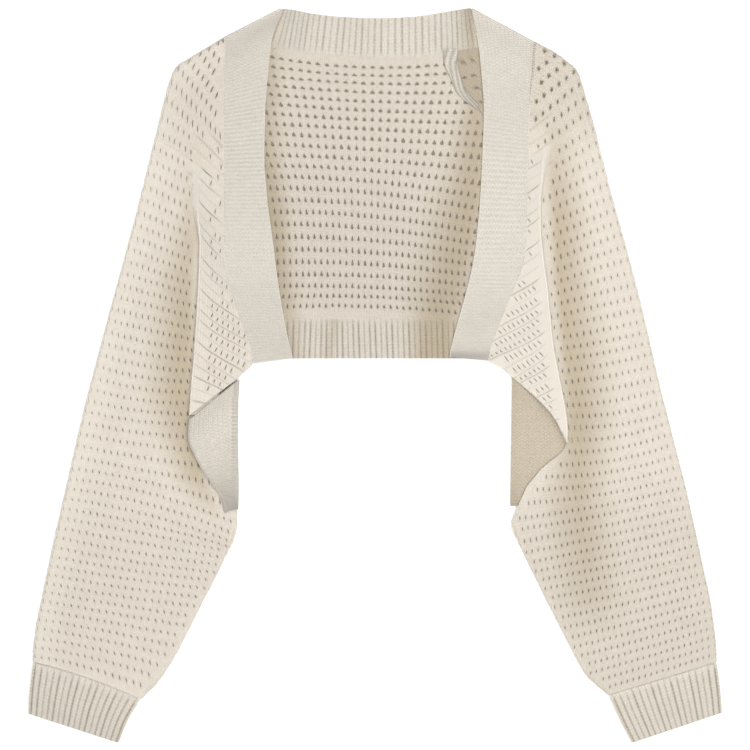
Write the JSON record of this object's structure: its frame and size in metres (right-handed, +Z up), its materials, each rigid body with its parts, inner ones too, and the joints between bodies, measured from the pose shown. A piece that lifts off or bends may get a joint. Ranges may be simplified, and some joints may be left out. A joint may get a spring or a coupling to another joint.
{
  "type": "openwork knit cropped cardigan laid flat",
  "caption": "Cropped open-front knit cardigan in openwork stitch with ribbed neck, hem and cuffs, laid flat on its back with its arms down.",
  "frame": {"origin": "middle of the bounding box of the laid-out garment, on the surface that it lies on", "axes": "+Z up from that surface, +Y from the hands to the neck, +X to the right of a viewer who looks down on it with the neck at the top"},
  "size_m": [0.6582, 0.6967, 0.0122],
  "materials": {
    "openwork_knit": "matt cotton yarn in an even net of eyelets",
    "rib_knit": "matt cotton yarn in upright ribs",
    "band_knit": "matt cotton yarn in plain stitches"
  },
  "bodies": {
    "root": {"back_panel": "openwork_knit", "sleeve_left": "openwork_knit", "sleeve_right": "openwork_knit", "neckband": "rib_knit", "back_hem": "rib_knit", "cuff_left": "rib_knit", "cuff_right": "rib_knit", "front_band_left": "band_knit", "front_band_right": "band_knit", "underarm_band_left": "band_knit", "underarm_band_right": "band_knit", "back_seam_right": "band_knit"}
  },
  "joints": []
}
